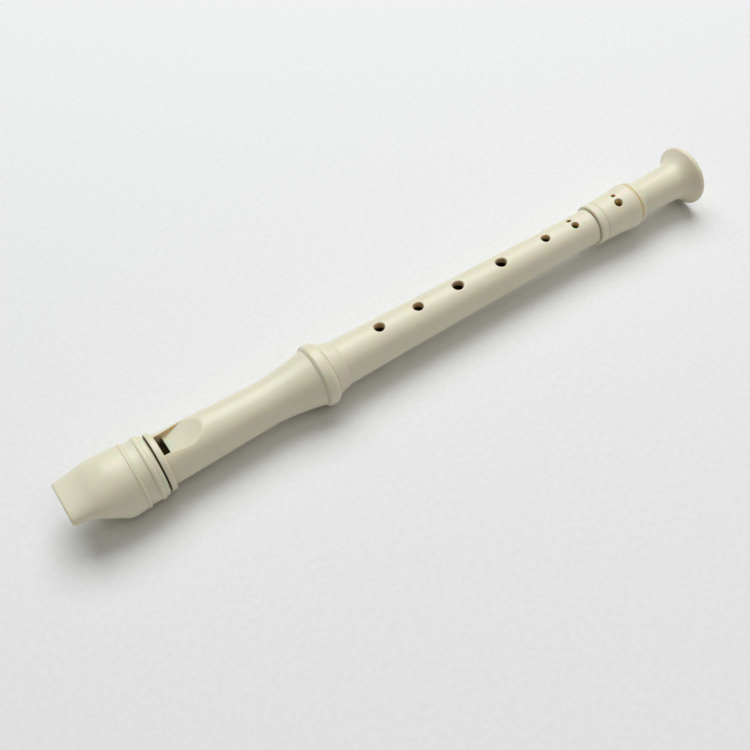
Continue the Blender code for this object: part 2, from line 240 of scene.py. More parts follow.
MIDDLE_END_OUTLINE = [
    (MIDDLE_HOLES_END, MIDDLE_END_RADIUS, 0),
    (MIDDLE_TUBE_END, MIDDLE_END_RADIUS, 0.0003),
    (MIDDLE_TUBE_END, FOOT_TENON_RADIUS, 0.0001),
    (FOOT_SEAL[0] - SEAL_GAP, FOOT_TENON_RADIUS, 0.0001),
    (FOOT_SEAL[0] - SEAL_GAP, FOOT_GROOVE_RADIUS, 0.0001),
    (FOOT_SEAL[1] + SEAL_GAP, FOOT_GROOVE_RADIUS, 0.0001),
    (FOOT_SEAL[1] + SEAL_GAP, FOOT_TENON_RADIUS, 0.0001),
    (MIDDLE_END - 0.0005, FOOT_TENON_RADIUS, 0.0003),
    (MIDDLE_END, FOOT_TENON_RADIUS - 0.0004, 0),
]
FOOT_START_OUTLINE = [
    (FOOT_START, FOOT_SOCKET_RADIUS + SOCKET_CHAMFER, 0),
    (FOOT_START, 0.0095, 0.0003),
    (0.2691, 0.0099, 0.0005),
    (0.2721, 0.0099, 0.0005),
    (0.2725, 0.0095, 0.0002),
    (0.2729, 0.0095, 0.0002),
    (0.2733, 0.0098, 0.0003),
    FOOT_BARREL_START + (0,),
]
FOOT_BARREL_OUTLINE = [
    FOOT_BARREL_START + (0,),
    (0.2840, 0.0103, 0.01),
    FOOT_BARREL_END + (0,),
]
FOOT_NECK_OUTLINE = [
    FOOT_BARREL_END + (0,),
    (0.2886, 0.0109, 0.004),
    (0.2908, 0.0110, 0.002),
    (0.2916, 0.0107, 0.0006),
    (0.2920, 0.0095, 0.0003),
    (0.2926, 0.0095, 0.0003),
    (0.2930, 0.0103, 0.0004),
    (0.2948, 0.0103, 0.0006),
    (0.2955, 0.0089, 0.0005),
    (0.2966, 0.0083, 0.0015),
    (0.3094, 0.0086, 0.01),
    (0.3160, 0.0090, 0.01),
    BELL_START + (0,),
]
BELL_RIM_OUTLINE = [
    BELL_RIM + (0,),
    (0.3250, BELL_RIM_RADIUS, 0.0005),
    (LENGTH, BELL_RIM_RADIUS, 0.0009),
    (LENGTH, BELL_MOUTH_RADIUS, 0.0003),
    (LENGTH - 0.0006, BELL_MOUTH_RADIUS - 0.0004, 0),
]

# Smooth lines of (station, radius)
HEAD_TUBE_LINE = [
    (COLLAR_END, TUBE_RADIUS),
    (0.0560, 0.01117),
    (0.0690, 0.01075),
    (0.0790, 0.01035),
    WAIST,
]
MIDDLE_TUBE_LINE = [
    (MIDDLE_TUBE_START, 0.01035),
    (0.1490, 0.0100),
    (0.1700, 0.0096),
    (0.2000, 0.0092),
    (0.2320, 0.0088),
    (0.2520, MIDDLE_END_RADIUS),
    (MIDDLE_HOLES_END, MIDDLE_END_RADIUS),
]

# Rows of the block's grid: (station, how far inside its outer surface)
BLOCK_FRONT = BLOCK_START + 0.0002
BLOCK_END = WINDOW_START - CAVITY_GAP
BLOCK_ROWS = [
    (BLOCK_FRONT, 0.0060),
    (BLOCK_FRONT, 0.0030),
    (BLOCK_FRONT, 0.0004),
    (BLOCK_FRONT + 0.0004, 0.0),
    (0.0250, 0.0),
    (0.0340, 0.0),
    (0.0400, 0.0),
    (BLOCK_END - 0.0006, 0.0),
    (BLOCK_END - 0.0002, 0.0003),
    (BLOCK_END, 0.0007),
    (BLOCK_END, 0.0030),
    (BLOCK_END, 0.0060),
]


# ---------------------------------------------------------------- mesh helpers


class Skin:
    """Grids of points that share their edges, welded into one closed mesh at the end."""

    def __init__(self):
        self.points = []
        self.faces = []
        self.count = 0

    def add(self, grid, skip=None):
        rows, columns = grid.shape[:2]
        index = self.count + np.arange(rows * columns).reshape(rows, columns)
        quads = np.stack(
            [index[:-1, :-1], index[:-1, 1:], index[1:, 1:], index[1:, :-1]], axis=-1
        )
        if skip is not None:
            quads = quads[~skip]
        self.faces.append(quads.reshape(-1, 4))
        self.points.append(grid.reshape(-1, 3))
        self.count += rows * columns

    def build(self, name, material):
        points = np.concatenate(self.points) + (TIP_X, 0.0, AXIS_Z)
        mesh = bpy.data.meshes.new(name)
        mesh.from_pydata(points.tolist(), [], np.concatenate(self.faces).tolist())
        bm = bmesh.new()
        bm.from_mesh(mesh)
        bmesh.ops.remove_doubles(bm, verts=bm.verts, dist=WELD)
        bmesh.ops.dissolve_degenerate(bm, edges=bm.edges, dist=WELD)
        bmesh.ops.recalc_face_normals(bm, faces=bm.faces)
        bm.to_mesh(mesh)
        bm.free()
        mesh.shade_smooth()
        mesh.set_sharp_from_angle(angle=SMOOTH_ANGLE)
        mesh.materials.append(material)
        piece = bpy.data.objects.new(name, mesh)
        bpy.context.scene.collection.objects.link(piece)
        return piece


def turn_angles(columns):
    """Angle of each column about the axis, from +Z towards +Y."""
    return 2 * math.pi * np.asarray(columns) / ROUND


def bore_angles(columns):
    """As turn_angles, but spread wider at the top and bottom, where holes meet a narrow bore."""
    angle = turn_angles(columns)
    return angle + BORE_SPREAD * np.sin(2 * angle)


ALL_COLUMNS = np.arange(ROUND + 1)


def turned(outline, angles):
    """Grid of a surface turned from (station, radius) points, one row for each point."""
    outline = np.asarray(outline, float)
    grid = np.empty((len(outline), len(angles), 3))
    grid[:, :, 0] = outline[:, 0:1]
    grid[:, :, 1] = outline[:, 1:2] * np.sin(angles)
    grid[:, :, 2] = outline[:, 1:2] * np.cos(angles)
    return grid


def between(first, second, shares):
    """Grid of rows that pass from one row of points to another."""
    shares = np.asarray(shares, float)[:, None, None]
    return first[None] * (1 - shares) + second[None] * shares


def even(count):
    """Even shares from 0 to 1."""
    return np.linspace(0.0, 1.0, count + 1)


def stations(start, end, step):
    """Even stations from start to end, about a step apart."""
    return np.linspace(start, end, max(2, int(round((end - start) / step))) + 1)


def rounded(corners, steps=4):
    """Points of an outline of (station, radius, rounding) corners, with each corner as an arc."""
    places = np.array([corner[:2] for corner in corners], float)
    points = [places[0]]
    for before, here, after, corner in zip(places, places[1:], places[2:], corners[1:]):
        rounding = corner[2]
        reach_before = np.linalg.norm(before - here)
        reach_after = np.linalg.norm(after - here)
        to_before = (before - here) / reach_before
        to_after = (after - here) / reach_after
        half = math.acos(np.clip(to_before @ to_after, -1, 1)) / 2
        if rounding == 0 or half > NEARLY_STRAIGHT:
            points.append(here)
            continue
        room = ALMOST_HALF * min(reach_before, reach_after)
        reach = min(rounding / math.tan(half), room)
        radius = reach * math.tan(half)
        bisector = to_before + to_after
        centre = here + bisector / np.linalg.norm(bisector) * radius / math.sin(half)
        start = here + to_before * reach - centre
        end = here + to_after * reach - centre
        sweep = math.acos(np.clip(start @ end / radius**2, -1, 1))
        for share in even(steps):
            weight = (math.sin((1 - share) * sweep), math.sin(share * sweep))
            points.append(centre + (weight[0] * start + weight[1] * end) / math.sin(sweep))
    points.append(places[-1])
    return [tuple(point) for point in points]


def smooth(points, step):
    """A smooth line through points of any number of values, read at even steps of the first."""
    points = np.asarray(points, float)
    places = points[:, 0]
    slopes = np.gradient(points, places, axis=0)
    wanted = stations(places[0], places[-1], step)
    part = np.clip(np.searchsorted(places, wanted, side="right") - 1, 0, len(places) - 2)
    width = (places[part + 1] - places[part])[:, None]
    t = (wanted - places[part])[:, None] / width
    line = (
        (2 * t**3 - 3 * t**2 + 1) * points[part]
        + (t**3 - 2 * t**2 + t) * width * slopes[part]
        + (3 * t**2 - 2 * t**3) * points[part + 1]
        + (t**3 - t**2) * width * slopes[part + 1]
    )
    line[:, 0] = wanted
    return line


def flare(start, end, power, steps=16):
    """A trumpet-like outline from one (station, radius) to another."""
    share = even(steps)
    places = start[0] + (end[0] - start[0]) * share
    radii = start[1] + (end[1] - start[1]) * share**power
    return [tuple(point) for point in np.stack([places, radii], axis=1)]


def superellipse(section, angles):
    """One row of points round a section (station, top, bottom, half width, squareness)."""
    station, top, bottom, half_width, squareness = section
    side = np.sin(angles)
    rise = np.cos(angles)
    row = np.empty((len(angles), 3))
    row[:, 0] = station
    row[:, 1] = np.sign(side) * np.abs(side) ** (2 / squareness) * half_width
    middle = (top + bottom) / 2
    half_height = (top - bottom) / 2
    row[:, 2] = middle + np.sign(rise) * np.abs(rise) ** (2 / squareness) * half_height
    return row


# ---------------------------------------------------------------- walls with round holes


def hole_grid(hole, outer_x, inner_x, outer_line, inner_line, row):
    """Rows of points from the outer wall's opening, down through a hole, to the bore's opening."""
    station, side, radius, reach, columns = hole
    rounding = HOLE_ROUNDING * (radius / LARGE_HOLE) ** 2
    # Columns count from the top, so those round ROUND / 2 lie on the underside
    up = 1 if abs(columns[0] + columns[1]) < ROUND / 2 else -1
    first, last = row - reach, row + reach
    path = [(first, column) for column in range(columns[0], columns[1])]
    path += [(line, columns[1]) for line in range(first, last)]
    path += [(last, column) for column in range(columns[1], columns[0], -1)]
    path += [(line, columns[0]) for line in range(last, first - 1, -1)]
    rows, sides = np.array(path).T

    def surface(x, y, line, depth=0.0):
        height = np.sqrt(np.interp(x, *line) ** 2 - y**2)
        return np.stack([x, y, up * (height - depth)], axis=1)

    outer_edge_x = outer_x[rows]
    outer_edge_y = np.interp(outer_edge_x, *outer_line) * np.sin(turn_angles(sides))
    inner_edge_x = inner_x[rows]
    inner_edge_y = np.interp(inner_edge_x, *inner_line) * np.sin(bore_angles(sides))
    heading = np.arctan2(outer_edge_y - side, outer_edge_x - station)

    def rim(extra):
        return (
            station + (radius + extra) * np.cos(heading),
            side + (radius + extra) * np.sin(heading),
        )

    grid = []
    rim_x, rim_y = rim(rounding)
    for share in HOLE_APPROACH:
        x = outer_edge_x * (1 - share) + rim_x * share
        y = outer_edge_y * (1 - share) + rim_y * share
        grid.append(surface(x, y, outer_line))
    for angle in EDGE_TURNS:
        x, y = rim(rounding * (1 - math.sin(angle)))
        grid.append(surface(x, y, outer_line, rounding * (1 - math.cos(angle))))
    x, y = rim(0.0)
    top = grid[-1]
    bottom = surface(x, y, inner_line, -BORE_ROUNDING)
    for share in even(4)[1:]:
        grid.append(top * (1 - share) + bottom * share)
    rim_x, rim_y = rim(BORE_ROUNDING)
    for share in even(2):
        x = rim_x * (1 - share) + inner_edge_x * share
        y = rim_y * (1 - share) + inner_edge_y * share
        grid.append(surface(x, y, inner_line))
    return np.array(grid)


def perforated(skin, outer_x, inner_x, outer_line, inner_line, holes):
    """A tube's outer wall and bore with round holes through both."""
    outer = turned(np.stack([outer_x, np.interp(outer_x, *outer_line)], axis=1),
                   turn_angles(ALL_COLUMNS))
    inner = turned(np.stack([inner_x, np.interp(inner_x, *inner_line)], axis=1),
                   bore_angles(ALL_COLUMNS))
    skip = np.zeros((len(outer_x) - 1, ROUND), bool)
    for hole in holes:
        row = int(np.argmin(np.abs(outer_x - hole[0])))
        columns = np.arange(*hole[4]) % ROUND
        skip[row - hole[3]:row + hole[3], columns] = True
        skin.add(hole_grid(hole, outer_x, inner_x, outer_line, inner_line, row))
    skin.add(outer, skip)
    skin.add(inner, skip)


# ---------------------------------------------------------------- the pieces


def make_mouthpiece(material):
    """Lofted beak and barrel with a ridge, a band and a bead, and the windway's slot."""
    angles = turn_angles(ALL_COLUMNS)
    skin = Skin()
    beak = smooth(BEAK_SECTIONS, STEP)
    tip = []
    for angle in TIP_TURNS:
        shrink = TIP_ROUNDING * (1 - math.cos(angle))
        station = TIP_ROUNDING * (1 - math.sin(angle))
        section = np.array([np.interp(station, beak[:, 0], beak[:, k]) for k in range(5)])
        section += (0.0, -shrink, shrink, -shrink, 0.0)
        section[0] = station
        tip.append(section)
    sections = tip + [section for section in beak if section[0] > TIP_ROUNDING]
    outside = np.array([superellipse(section, angles) for section in sections])
    skin.add(outside)

    barrel = rounded(MOUTHPIECE_OUTLINE)
    skin.add(turned(barrel, angles))

    slot_tip = np.array([*SLOT_TIP, SLOT_SQUARENESS])
    slot_end = np.array([*SLOT_END, SLOT_SQUARENESS])
    funnel = slot_tip + (0.0, SLOT_FUNNEL, -SLOT_FUNNEL, SLOT_FUNNEL, 0.0)
    mouth = [funnel]
    for angle in SLOT_MOUTH_TURNS:
        inset = SLOT_FUNNEL * math.sin(angle)
        mouth.append(funnel + (SLOT_FUNNEL * (1 - math.cos(angle)), -inset, inset, -inset, 0.0))
    mouth += [slot_tip + (slot_end - slot_tip) * share for share in even(16)[1:]]
    slot = np.array([superellipse(section, angles) for section in mouth])
    skin.add(between(outside[0], slot[0], TIP_FACE_ROWS))
    skin.add(slot)

    cavity = [plug_row(station, HEAD_BORE, WINDOW_HALF_WIDTH, WINDWAY_ROOF, angles)
              for station in (BLOCK_START, 0.0200, CAVITY_END)]
    skin.add(np.array([slot[-1], cavity[0]]))
    skin.add(np.array(cavity))
    skin.add(np.array([cavity[-1], turned(barrel[-1:], angles)[0]]))
    return skin.build("mouthpiece_shell", material)


def plug_row(station, radius, half_width, roof, angles):
    """Row of points round a circle joined with an upright box that ends at roof."""
    side = np.abs(np.sin(angles))
    rise = np.cos(angles)
    box = np.where(rise > 0, np.minimum(half_width / np.maximum(side, 1e-9),
                                        roof / np.maximum(rise, 1e-9)), 0.0)
    reach = np.maximum(radius, box)
    row = np.empty((len(angles), 3))
    row[:, 0] = station
    row[:, 1] = reach * np.sin(angles)
    row[:, 2] = reach * rise
    return row


def make_block(material):
    """The fipple plug: round below, flat on top, with a chamfer at the window."""
    angles = turn_angles(ALL_COLUMNS)
    radius = HEAD_BORE - CAVITY_GAP
    half_width = WINDOW_HALF_WIDTH - CAVITY_GAP
    rows = []
    for station, inset in BLOCK_ROWS:
        roof = WINDWAY_FLOOR - inset
        row = plug_row(station, radius - inset, max(half_width - inset, 0.0), roof, angles)
        over = row[:, 2] > roof
        row[over, 1] *= roof / row[over, 2]
        row[over, 2] = roof
        rows.append(row)
    grid = np.array(rows)
    skin = Skin()
    skin.add(grid)
    for row in (grid[0], grid[-1]):
        middle = np.repeat(row.mean(axis=0)[None], len(angles), axis=0)
        skin.add(np.array([row, middle]))
    return skin.build("windway_plug", material)


class Ramp:
    """Outline, floor and walls of the window and the sloping ramp behind the labium."""

    across = 16
    window_steps = 6
    cheek_steps = 16
    wall_steps = 5
    lip_steps = 3
    halvings = 40

    def __init__(self, line):
        self.line = line
        self.corner = self.edge_side(CHEEK_END)
        self.cheek_line = smooth(CHEEK_LINE + [(CHEEK_END, self.corner)], STEP / 2).T

    def radius(self, x):
        return np.interp(x, *self.line)

    def floor(self, x):
        """Height of the ramp, which is slightly hollow from the labium up to the tube."""
        share = (x - WINDOW_END) / (RAMP_END - WINDOW_END)
        rise = self.radius(RAMP_END) - LABIUM_HEIGHT
        return LABIUM_HEIGHT + rise * share - RAMP_HOLLOW * 4 * share * (1 - share)

    def edge_side(self, x):
        """How far to the side the ramp meets the tube at a station."""
        return math.sqrt(self.radius(x) ** 2 - self.floor(x) ** 2)

    def edge_station(self, y):
        """The station where the ramp meets the tube at a distance to the side."""
        low = np.full_like(y, WINDOW_END)
        high = np.full_like(y, RAMP_REGION_END)
        for _ in range(self.halvings):
            middle = (low + high) / 2
            outside = self.floor(middle) ** 2 + y**2 > self.radius(middle) ** 2
            high = np.where(outside, middle, high)
            low = np.where(outside, low, middle)
        return (low + high) / 2

    def cheek(self, x):
        """Half the width between the cheeks at a station."""
        return np.interp(x, *self.cheek_line)

    def side_stations(self):
        """Stations along one side, first of the window and then of the cheek."""
        window = WINDOW_START + (WINDOW_END - WINDOW_START) * even(self.window_steps)
        cheek = WINDOW_END + (CHEEK_END - WINDOW_END) * even(self.cheek_steps)
        return np.concatenate([window, cheek[1:]])

    def rounding(self, x):
        """Rounding of the opening's edge, which fades out towards the end of the cheeks."""
        share = np.clip((CHEEK_END - x) / (CHEEK_END - WINDOW_END), 0, 1)
        return WINDOW_ROUNDING * np.sqrt(share)

    def outline(self, angle):
        """Stations, sides and depths of the edge loop at one angle of its rounding."""
        grow = 1 - math.sin(angle)
        sink = 1 - math.cos(angle)
        v = np.linspace(-1, 1, 2 * self.across + 1)
        side_x = self.side_stations()
        size = self.rounding(side_x)
        back = np.clip((WINDOW_END - side_x) / (WINDOW_END - WINDOW_START), 0, 1)
        near_x = side_x - size * grow * back
        near_y = self.cheek(side_x) + size * grow
        end_y = np.linspace(self.corner, -self.corner, 2 * self.across + 1)
        end_x = self.edge_station(end_y)
        start_x = np.full_like(v, WINDOW_START - WINDOW_ROUNDING * grow)
        start_y = v * near_y[0]
        x = np.concatenate([start_x[:-1], near_x[:-1], end_x[:-1], near_x[::-1]])
        y = np.concatenate([start_y[:-1], near_y[:-1], end_y[:-1], -near_y[::-1]])
        start_depth = np.full_like(v, WINDOW_ROUNDING * sink)
        near_depth = size * sink
        depth = np.concatenate(
            [start_depth[:-1], near_depth[:-1], np.zeros(2 * self.across), near_depth[::-1]]
        )
        return x, y, depth

    def surface(self, x, y, depth=0.0):
        """Points of the tube's wall, sunk by a depth."""
        height = np.sqrt(self.radius(x) ** 2 - y**2) - depth
        return np.stack([x, y, height], axis=-1)

    def add_outside(self, skin, region_x):
        """Joins the tube's wall, with the opening's region left out, to the rounded edge."""
        edge = turn_angles(self.across)
        v = np.linspace(-1, 1, 2 * self.across + 1)
        x = np.concatenate([
            np.full(2 * self.across, region_x[0]), region_x[:-1],
            np.full(2 * self.across, region_x[-1]), region_x[::-1],
        ])
        angle = np.concatenate([
            v[:-1] * edge, np.full(len(region_x) - 1, edge),
            -v[:-1] * edge, np.full(len(region_x), -edge),
        ])
        rim_x, rim_y, _ = self.outline(0.0)
        rim_angle = np.arcsin(rim_y / self.radius(rim_x))
        rows = []
        for share in RAMP_APPROACH:
            row_x = x * (1 - share) + rim_x * share
            row_angle = angle * (1 - share) + rim_angle * share
            radius = self.radius(row_x)
            rows.append(np.stack(
                [row_x, radius * np.sin(row_angle), radius * np.cos(row_angle)], axis=-1
            ))
        for turn in EDGE_TURNS:
            rows.append(self.surface(*self.outline(turn)))
        skin.add(np.array(rows))

    def add_inside(self, skin):
        """The walls, the floor and the lip, from the opening's edge down to the bore."""
        v = np.linspace(-1, 1, 2 * self.across + 1)
        upper = even(self.wall_steps)
        lower = even(self.lip_steps)
        start = self.surface(
            np.full_like(v, WINDOW_START), v * WINDOW_HALF_WIDTH, WINDOW_ROUNDING
        )
        roof = start.copy()
        roof[:, 2] = WINDWAY_ROOF
        skin.add(between(start, roof, upper))

        side_x = self.side_stations()
        window = side_x <= WINDOW_END + 1e-9
        share = (side_x - WINDOW_START) / (WINDOW_END - WINDOW_START)
        split = WINDWAY_ROOF + (LABIUM_HEIGHT - WINDWAY_ROOF) * share
        split = np.where(window, split, self.floor(side_x))
        bore_height = math.sqrt(HEAD_BORE**2 - WINDOW_HALF_WIDTH**2)
        for sign in (-1, 1):
            y = self.cheek(side_x)
            top = self.surface(side_x, y, self.rounding(side_x))
            middle = np.stack([side_x, y, split], axis=-1)
            bottom = middle.copy()
            bottom[:, 2] = bore_height
            flip = np.array((1, sign, 1))
            skin.add(between(top * flip, middle * flip, upper))
            skin.add(between(middle[window] * flip, bottom[window] * flip, lower))

        cheek_x = side_x[self.window_steps:]
        far_x = self.edge_station(v * self.corner)
        share = (cheek_x - WINDOW_END) / (CHEEK_END - WINDOW_END)
        plan_x = WINDOW_END + share[:, None] * (far_x - WINDOW_END)
        plan_y = self.cheek(cheek_x)[:, None] * v
        skin.add(np.stack([plan_x, plan_y, self.floor(plan_x)], axis=-1))

        edge = np.stack(
            [np.full_like(v, WINDOW_END), v * WINDOW_HALF_WIDTH, np.full_like(v, LABIUM_HEIGHT)],
            axis=-1,
        )
        under = edge.copy()
        under[:, 2] = np.sqrt(HEAD_BORE**2 - edge[:, 1] ** 2)
        skin.add(between(edge, under, lower))


def make_head(material):
    """Head tube: spigot, collar, window and ramp, waist, flared socket with its band."""
    skin = Skin()
    across = Ramp.across
    outer_angles = turn_angles(np.arange(-across, ROUND - across + 1))
    v = np.linspace(-1, 1, 2 * across + 1)
    edge_angle = math.asin(WINDOW_HALF_WIDTH / HEAD_BORE)
    top_angles = np.arcsin(v * WINDOW_HALF_WIDTH / HEAD_BORE)
    low_angles = np.linspace(edge_angle, 2 * math.pi - edge_angle, ROUND - 2 * across + 1)
    inner_angles = np.concatenate([top_angles, low_angles[1:]])

    tube = smooth(HEAD_TUBE_LINE, STEP)
    ramp = Ramp((tube[:, 0], tube[:, 1]))
    region_x = np.linspace(COLLAR_END, RAMP_REGION_END,
                           ramp.window_steps + ramp.cheek_steps + 1)
    after_x = stations(RAMP_REGION_END, WAIST[0], STEP)
    region = turned(np.stack([region_x, ramp.radius(region_x)], axis=1), outer_angles)
    skip = np.zeros((len(region_x) - 1, ROUND), bool)
    skip[:, :2 * across] = True
    skin.add(region, skip)
    ramp.add_outside(skin, region_x)
    ramp.add_inside(skin)
    skin.add(turned(np.stack([after_x, ramp.radius(after_x)], axis=1), outer_angles))

    spigot = rounded(SPIGOT_OUTLINE)
    skin.add(turned(spigot, outer_angles))
    flared = flare(WAIST, FLARE_END, FLARE_POWER, 24)
    band = rounded(HEAD_BAND_OUTLINE)
    skin.add(turned(flared, outer_angles))
    skin.add(turned(band, outer_angles))
    socket = [
        (HEAD_END, HEAD_SOCKET_RADIUS + SOCKET_CHAMFER),
        (HEAD_END - SOCKET_CHAMFER, HEAD_SOCKET_RADIUS),
        (0.1130, HEAD_SOCKET_RADIUS),
        (HEAD_SOCKET_START, HEAD_SOCKET_RADIUS),
        (HEAD_SOCKET_START, HEAD_BORE),
    ]
    skin.add(turned(socket, inner_angles))
    skin.add(np.array([turned(band[-1:], outer_angles)[0], turned(socket[:1], inner_angles)[0]]))

    before = stations(SPIGOT_START, WINDOW_START, BORE_STEP)
    window_x = WINDOW_START + (WINDOW_END - WINDOW_START) * even(ramp.window_steps)
    after = stations(WINDOW_END, HEAD_SOCKET_START, HEAD_BORE_STEP)
    whole = np.concatenate([before, window_x[1:], after[1:]])
    bore_line = np.stack([whole, np.full_like(whole, HEAD_BORE)], axis=1)
    skin.add(turned(bore_line, low_angles))
    skin.add(turned(bore_line[len(before) + len(window_x) - 2:], top_angles))
    roof = np.empty((len(before), len(v), 3))
    roof[..., 0] = before[:, None]
    roof[..., 1] = v * WINDOW_HALF_WIDTH
    roof[..., 2] = WINDWAY_ROOF
    skin.add(roof)
    bore_height = math.sqrt(HEAD_BORE**2 - WINDOW_HALF_WIDTH**2)
    for sign in (-1, 1):
        edge = roof[:, -1] * (1, sign, 1)
        foot = edge.copy()
        foot[:, 2] = bore_height
        skin.add(between(edge, foot, even(ramp.lip_steps)))

    front = turned([(SPIGOT_START, HEAD_BORE)], low_angles)[0]
    rim = turned(spigot[:1], outer_angles)[0]
    skin.add(np.array([roof[0], rim[:2 * across + 1]]))
    skin.add(np.array([front, rim[2 * across:]]))
    for column, sign in ((2 * across, 1), (0, -1)):
        steps = between(roof[:1, -1] * (1, sign, 1),
                        np.array([[SPIGOT_START, sign * WINDOW_HALF_WIDTH, bore_height]]),
                        even(ramp.lip_steps))[:, 0]
        skin.add(np.array([steps, np.repeat(rim[column][None], len(steps), axis=0)]))
    return skin.build("head_joint_shell", material)


def close_ends(skin, outer, inner):
    """Flat strips between a tube's outer line and its bore at both ends."""
    for index in (0, -1):
        skin.add(np.array([
            turned([outer[index]], turn_angles(ALL_COLUMNS))[0],
            turned([inner[index]], bore_angles(ALL_COLUMNS))[0],
        ]))


def make_middle(material):
    """Middle tube: two grooved tenons, the shoulder ring and the tapering body with its holes."""
    upper = rounded(MIDDLE_START_OUTLINE)
    body = smooth(MIDDLE_TUBE_LINE, STEP)
    lower = rounded(MIDDLE_END_OUTLINE)
    skin = Skin()
    x = stations(MIDDLE_TUBE_START, MIDDLE_HOLES_END, STEP)
    perforated(skin, x, x, (body[:, 0], body[:, 1]), MIDDLE_BORE, FINGER_HOLES + [THUMB_HOLE])
    skin.add(turned(upper, turn_angles(ALL_COLUMNS)))
    skin.add(turned(lower, turn_angles(ALL_COLUMNS)))
    for start, end in ((MIDDLE_START, MIDDLE_TUBE_START), (MIDDLE_HOLES_END, MIDDLE_END)):
        part = stations(start, end, BORE_STEP)
        line = np.stack([part, np.interp(part, *MIDDLE_BORE)], axis=1)
        skin.add(turned(line, bore_angles(ALL_COLUMNS)))
    bore_ends = [(end, np.interp(end, *MIDDLE_BORE)) for end in (MIDDLE_START, MIDDLE_END)]
    close_ends(skin, [upper[0], lower[-1]], bore_ends)
    return skin.build("middle_joint_shell", material)


def make_foot(material):
    """Foot joint: socket barrel with its double hole, beads, neck and flared bell."""
    upper = rounded(FOOT_START_OUTLINE)
    barrel = smooth(rounded(FOOT_BARREL_OUTLINE), STEP)
    lower = rounded(FOOT_NECK_OUTLINE)
    bell = flare(BELL_START, BELL_RIM, BELL_POWER, 20)
    rim = rounded(BELL_RIM_OUTLINE)
    cup = flare((BELL_CUP_START, FOOT_BORE), rim[-1], BELL_CUP_POWER, 20)
    skin = Skin()
    outer_x = stations(FOOT_BARREL_START[0], FOOT_BARREL_END[0], FOOT_STEP)
    inner_x = np.linspace(FOOT_HOLES_START, FOOT_BARREL_END[0], len(outer_x))
    perforated(skin, outer_x, inner_x, (barrel[:, 0], barrel[:, 1]),
               ((FOOT_HOLES_START, FOOT_BARREL_END[0]), (FOOT_BORE, FOOT_BORE)), FOOT_HOLES)
    for line in (upper, lower, bell, rim):
        skin.add(turned(line, turn_angles(ALL_COLUMNS)))
    socket = [
        (FOOT_START, FOOT_SOCKET_RADIUS + SOCKET_CHAMFER),
        (FOOT_START + SOCKET_CHAMFER, FOOT_SOCKET_RADIUS),
        (FOOT_SOCKET_END, FOOT_SOCKET_RADIUS),
        (FOOT_SOCKET_END, FOOT_BORE),
        (FOOT_HOLES_START, FOOT_BORE),
    ]
    bore_x = stations(FOOT_BARREL_END[0], BELL_CUP_START, BORE_STEP)
    bore = [(station, FOOT_BORE) for station in bore_x]
    for line in (socket, bore, cup):
        skin.add(turned(line, bore_angles(ALL_COLUMNS)))
    close_ends(skin, [upper[0], rim[-1]], [socket[0], cup[-1]])
    return skin.build("foot_joint_shell", material)


def make_seal(name, seal, tenon_radius, material):
    """A soft ring with a crowned, shallowly ribbed face and a chamfer on its inner edges."""
    start, end, thickness = seal
    outside = tenon_radius + SEAL_STAND_OUT
    inside = outside - thickness
    base = outside - SEAL_RIB - SEAL_CROWN
    chamfer = 0.0001
    face = [(start, inside + chamfer)]
    for share in even(24):
        rib = SEAL_RIB * abs(math.cos(2 * math.pi * share))
        crown = SEAL_CROWN * math.sin(math.pi * share)
        face.append((start + (end - start) * share, base + rib + crown))
    face += [(end, inside + chamfer), (end - chamfer, inside), (start + chamfer, inside), face[0]]
    skin = Skin()
    skin.add(turned(face, turn_angles(ALL_COLUMNS)))
    return skin.build(name, material)


# ---------------------------------------------------------------- materials


class Nodes:
    """Short way to add and join the nodes of one material."""

    def __init__(self, name):
        self.material = bpy.data.materials.new(name)
        self.material.use_nodes = True
        self.tree = self.material.node_tree
        self.shader = self.tree.nodes["Principled BSDF"]
        self.place = self.add("ShaderNodeTexCoord").outputs["Object"]

    def add(self, kind, inputs=None, **settings):
        node = self.tree.nodes.new(kind)
        for key, value in settings.items():
            setattr(node, key, value)
        for key, value in (inputs or {}).items():
            self.put(node.inputs[key], value)
        return node

    def put(self, socket, value):
        if isinstance(value, bpy.types.NodeSocket):
            self.tree.links.new(value, socket)
        else:
            socket.default_value = value

    def place_parts(self):
        """The three coordinates of the place that is shaded."""
        return self.add("ShaderNodeSeparateXYZ", {0: self.place}).outputs

    def math(self, operation, first, second=0.0):
        return self.add("ShaderNodeMath", {0: first, 1: second}, operation=operation).outputs[0]

    def noise(self, scale, detail=3.0, stretch=(1, 1, 1), shift=(0, 0, 0), roughness=0.5):
        moved = self.add(
            "ShaderNodeMapping", {"Vector": self.place, "Scale": stretch, "Location": shift}
        ).outputs[0]
        return self.add(
            "ShaderNodeTexNoise",
            {"Vector": moved, "Scale": scale, "Detail": detail, "Roughness": roughness},
        ).outputs[0]

    def openness(self, reach):
        """How open the surface is within this reach: 1 on an outer face, near 0 deep inside."""
        node = self.add("ShaderNodeAmbientOcclusion", {"Distance": reach},
                        samples=8, only_local=True)
        return node.outputs["AO"]

    def remap(self, value, low, high, to_low, to_high):
        """Straight-line change from one range of values to another, held at both ends."""
        return self.add(
            "ShaderNodeMapRange",
            {"Value": value, "From Min": low, "From Max": high, "To Min": to_low,
             "To Max": to_high},
        ).outputs[0]

    def blend(self, share, first, second):
        node = self.add("ShaderNodeMix", data_type="RGBA")
        self.put(node.inputs["Factor"], share)
        self.put(node.inputs["A"], first)
        self.put(node.inputs["B"], second)
        return node.outputs["Result"]


def rgba(colour, gain=1.0):
    """A colour with a gain, and opaque."""
    return (colour[0] * gain, colour[1] * gain, colour[2] * gain, 1.0)


